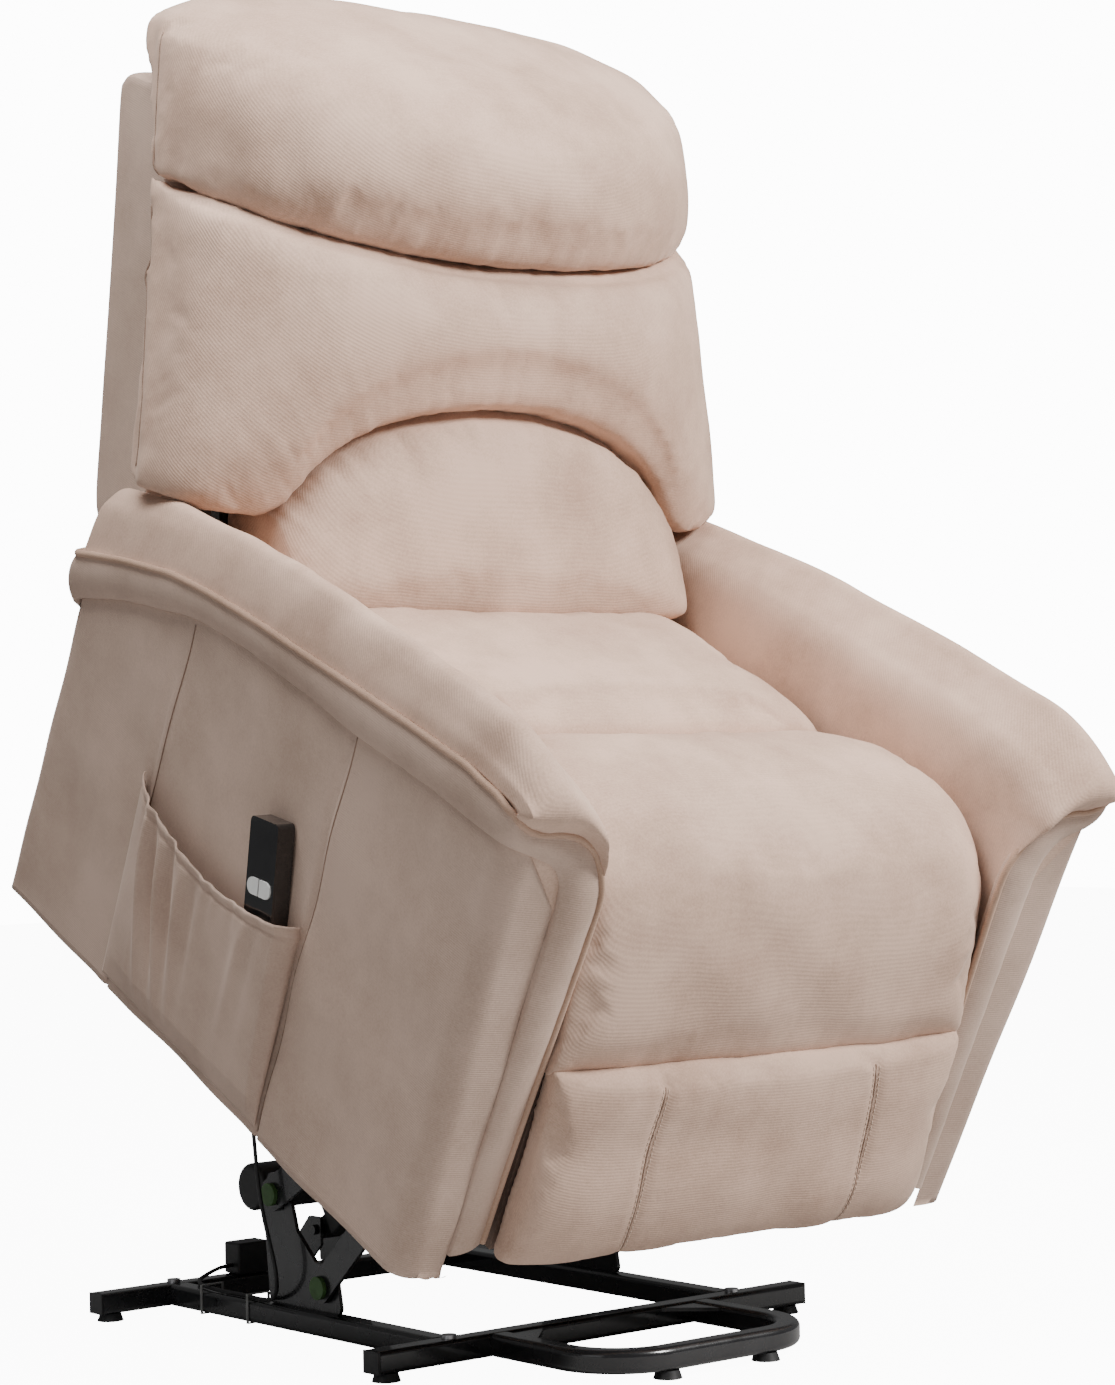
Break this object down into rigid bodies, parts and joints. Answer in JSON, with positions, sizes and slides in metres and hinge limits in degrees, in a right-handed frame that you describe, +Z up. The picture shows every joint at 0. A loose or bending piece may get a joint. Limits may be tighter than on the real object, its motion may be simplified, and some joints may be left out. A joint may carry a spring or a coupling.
{
  "type": "lift recliner chair",
  "caption": "Powered lift recliner chair, raised and tilted forward on a steel base, with padded arms, pillow back, footrest, side pocket and handset.",
  "frame": {"origin": "on the floor, under the middle of the raised chair", "axes": "+X the sitter's left, +Y to the chair's rear, +Z up; the chair faces -Y"},
  "size_m": [0.85, 1.0031, 1.5497],
  "materials": {
    "taupe_fabric": "ribbed velvet",
    "brown_fabric": "plain weave",
    "webbing": "elastic webbing",
    "black_frame": "gloss powder coat",
    "black_tube": "satin",
    "zinc_steel": "zinc plated",
    "black_plastic": "fine texture",
    "green_bush": "moulded nylon",
    "cable_jacket": "smooth jacket",
    "white_nylon": "moulded nylon",
    "white_button": "smooth",
    "plywood": "bare plywood"
  },
  "bodies": {
    "base": {"front_cross_tube": "black_frame", "rear_cross_tube": "black_frame", "left_side_rail": "black_frame", "right_side_rail": "black_frame", "stabilizer_bar": "black_frame", "stabilizer_gussets": "black_frame", "tube_end_caps": "black_plastic", "base_feet": "black_plastic", "base_brackets": "black_frame", "base_bolts": "zinc_steel", "link_pivot_bushings": "green_bush", "actuator_clevis": "black_frame", "power_box": "black_plastic", "control_cable": "cable_jacket", "cable_ties": "white_nylon"},
    "front_links": {"left_front_link": "black_frame", "right_front_link": "black_frame", "lift_torque_tube": "black_frame"},
    "rear_links": {"left_rear_link": "black_frame", "right_rear_link": "black_frame"},
    "actuator": {"actuator_gearbox": "black_plastic", "actuator_motor": "black_plastic", "actuator_outer_tube": "black_tube"},
    "actuator_rod": {"actuator_rod": "zinc_steel"},
    "seat": {"left_mechanism_plate": "black_frame", "right_mechanism_plate": "black_frame", "lift_drive_tube": "black_frame", "seat_cross_rails": "plywood", "seat_side_boards": "plywood", "mechanism_pins": "zinc_steel", "seat_webbing": "webbing", "left_side_panel": "taupe_fabric", "left_inner_panel": "taupe_fabric", "right_side_panel": "taupe_fabric", "right_inner_panel": "taupe_fabric", "left_arm_cap": "taupe_fabric", "right_arm_cap": "taupe_fabric", "left_arm_front": "taupe_fabric", "right_arm_front": "taupe_fabric", "side_pocket": "taupe_fabric", "rear_panel": "taupe_fabric", "rear_flap": "brown_fabric", "seat_cushion": "taupe_fabric", "seat_bolster": "taupe_fabric", "cable_bush": "black_plastic"},
    "back": {"back_board": "plywood", "back_shell": "taupe_fabric", "back_hinge_arms": "black_frame", "lumbar_cushion": "taupe_fabric", "mid_back_cushion": "taupe_fabric", "head_pillow": "taupe_fabric"},
    "upper_footrest_links": {"footrest_upper_links": "black_frame"},
    "lower_footrest_links": {"footrest_lower_links": "black_frame"},
    "footrest": {"footrest_brackets": "black_frame", "footrest_board": "plywood", "footrest_pad": "taupe_fabric"},
    "handset": {"handset_back_case": "black_plastic", "handset_front_case": "black_plastic"},
    "raise_button": {"raise_button": "white_button"},
    "lower_button": {"lower_button": "white_button"}
  },
  "joints": [
    {"name": "lift", "type": "hinge", "parent": "base", "child": "front_links", "pos_m": [0, 0.142, 0.063], "axis": [1, 0, 0], "range_deg": [0, 43.78], "deforming": ["control_cable"]},
    {"name": "seat_tilt", "type": "hinge", "parent": "front_links", "child": "seat", "pos_m": [0, -0.05466, 0.24037], "axis": [1, 0, 0], "range_deg": [-70.86, 0]},
    {"name": "rear_link_swing", "type": "hinge", "parent": "base", "child": "rear_links", "pos_m": [0, 0.234, 0.159], "axis": [1, 0, 0], "range_deg": [0, 36.7]},
    {"name": "actuator_pitch", "type": "hinge", "parent": "base", "child": "actuator", "pos_m": [0, 0.42, 0.08], "axis": [1, 0, 0], "range_deg": [0, 28.53]},
    {"name": "actuator_stroke", "type": "slide", "parent": "actuator", "child": "actuator_rod", "axis": [0, -0.8373, 0.5468], "range_m": [-0.04852, 0]},
    {"name": "back_recline", "type": "hinge", "parent": "seat", "child": "back", "pos_m": [0, 0.1737, 0.71645], "axis": [-1, 0, 0], "range_deg": [0, 32], "deforming": ["rear_flap"]},
    {"name": "footrest_swing", "type": "hinge", "parent": "seat", "child": "upper_footrest_links", "pos_m": [0, -0.26827, 0.37266], "axis": [-1, 0, 0], "range_deg": [0, 97.41]},
    {"name": "footrest_knee", "type": "hinge", "parent": "upper_footrest_links", "child": "lower_footrest_links", "pos_m": [0, -0.11759, 0.27559], "axis": [-1, 0, 0], "range_deg": [-88.01, 0]},
    {"name": "footrest_board_turn", "type": "hinge", "parent": "lower_footrest_links", "child": "footrest", "pos_m": [0, -0.26026, 0.22514], "axis": [-1, 0, 0], "range_deg": [0, 80.61]},
    {"name": "handset_lift_out", "type": "slide", "parent": "seat", "child": "handset", "axis": [-0.0372, -0.2258, 0.9735], "range_m": [0, 0.12]},
    {"name": "raise_button_press", "type": "slide", "parent": "handset", "child": "raise_button", "axis": [0.9993, -0.0175, 0.0342], "range_m": [0, 0.0015], "stiffness_N_per_m": 400, "springref_m": -0.002},
    {"name": "lower_button_press", "type": "slide", "parent": "handset", "child": "lower_button", "axis": [0.9993, -0.0175, 0.0342], "range_m": [0, 0.0015], "stiffness_N_per_m": 400, "springref_m": -0.002}
  ],
  "couplings": [
    {"joint": "seat_tilt", "follows": "lift", "ratio": -1.6183},
    {"joint": "rear_link_swing", "follows": "lift", "ratio": 0.83805},
    {"joint": "actuator_pitch", "follows": "lift", "ratio": 0.65154},
    {"joint": "actuator_stroke", "follows": "lift", "m_per_rad": -0.063372},
    {"joint": "footrest_swing", "follows": "back_recline", "ratio": 3.0438},
    {"joint": "footrest_knee", "follows": "back_recline", "ratio": -2.75},
    {"joint": "footrest_board_turn", "follows": "back_recline", "ratio": 2.5187}
  ]
}
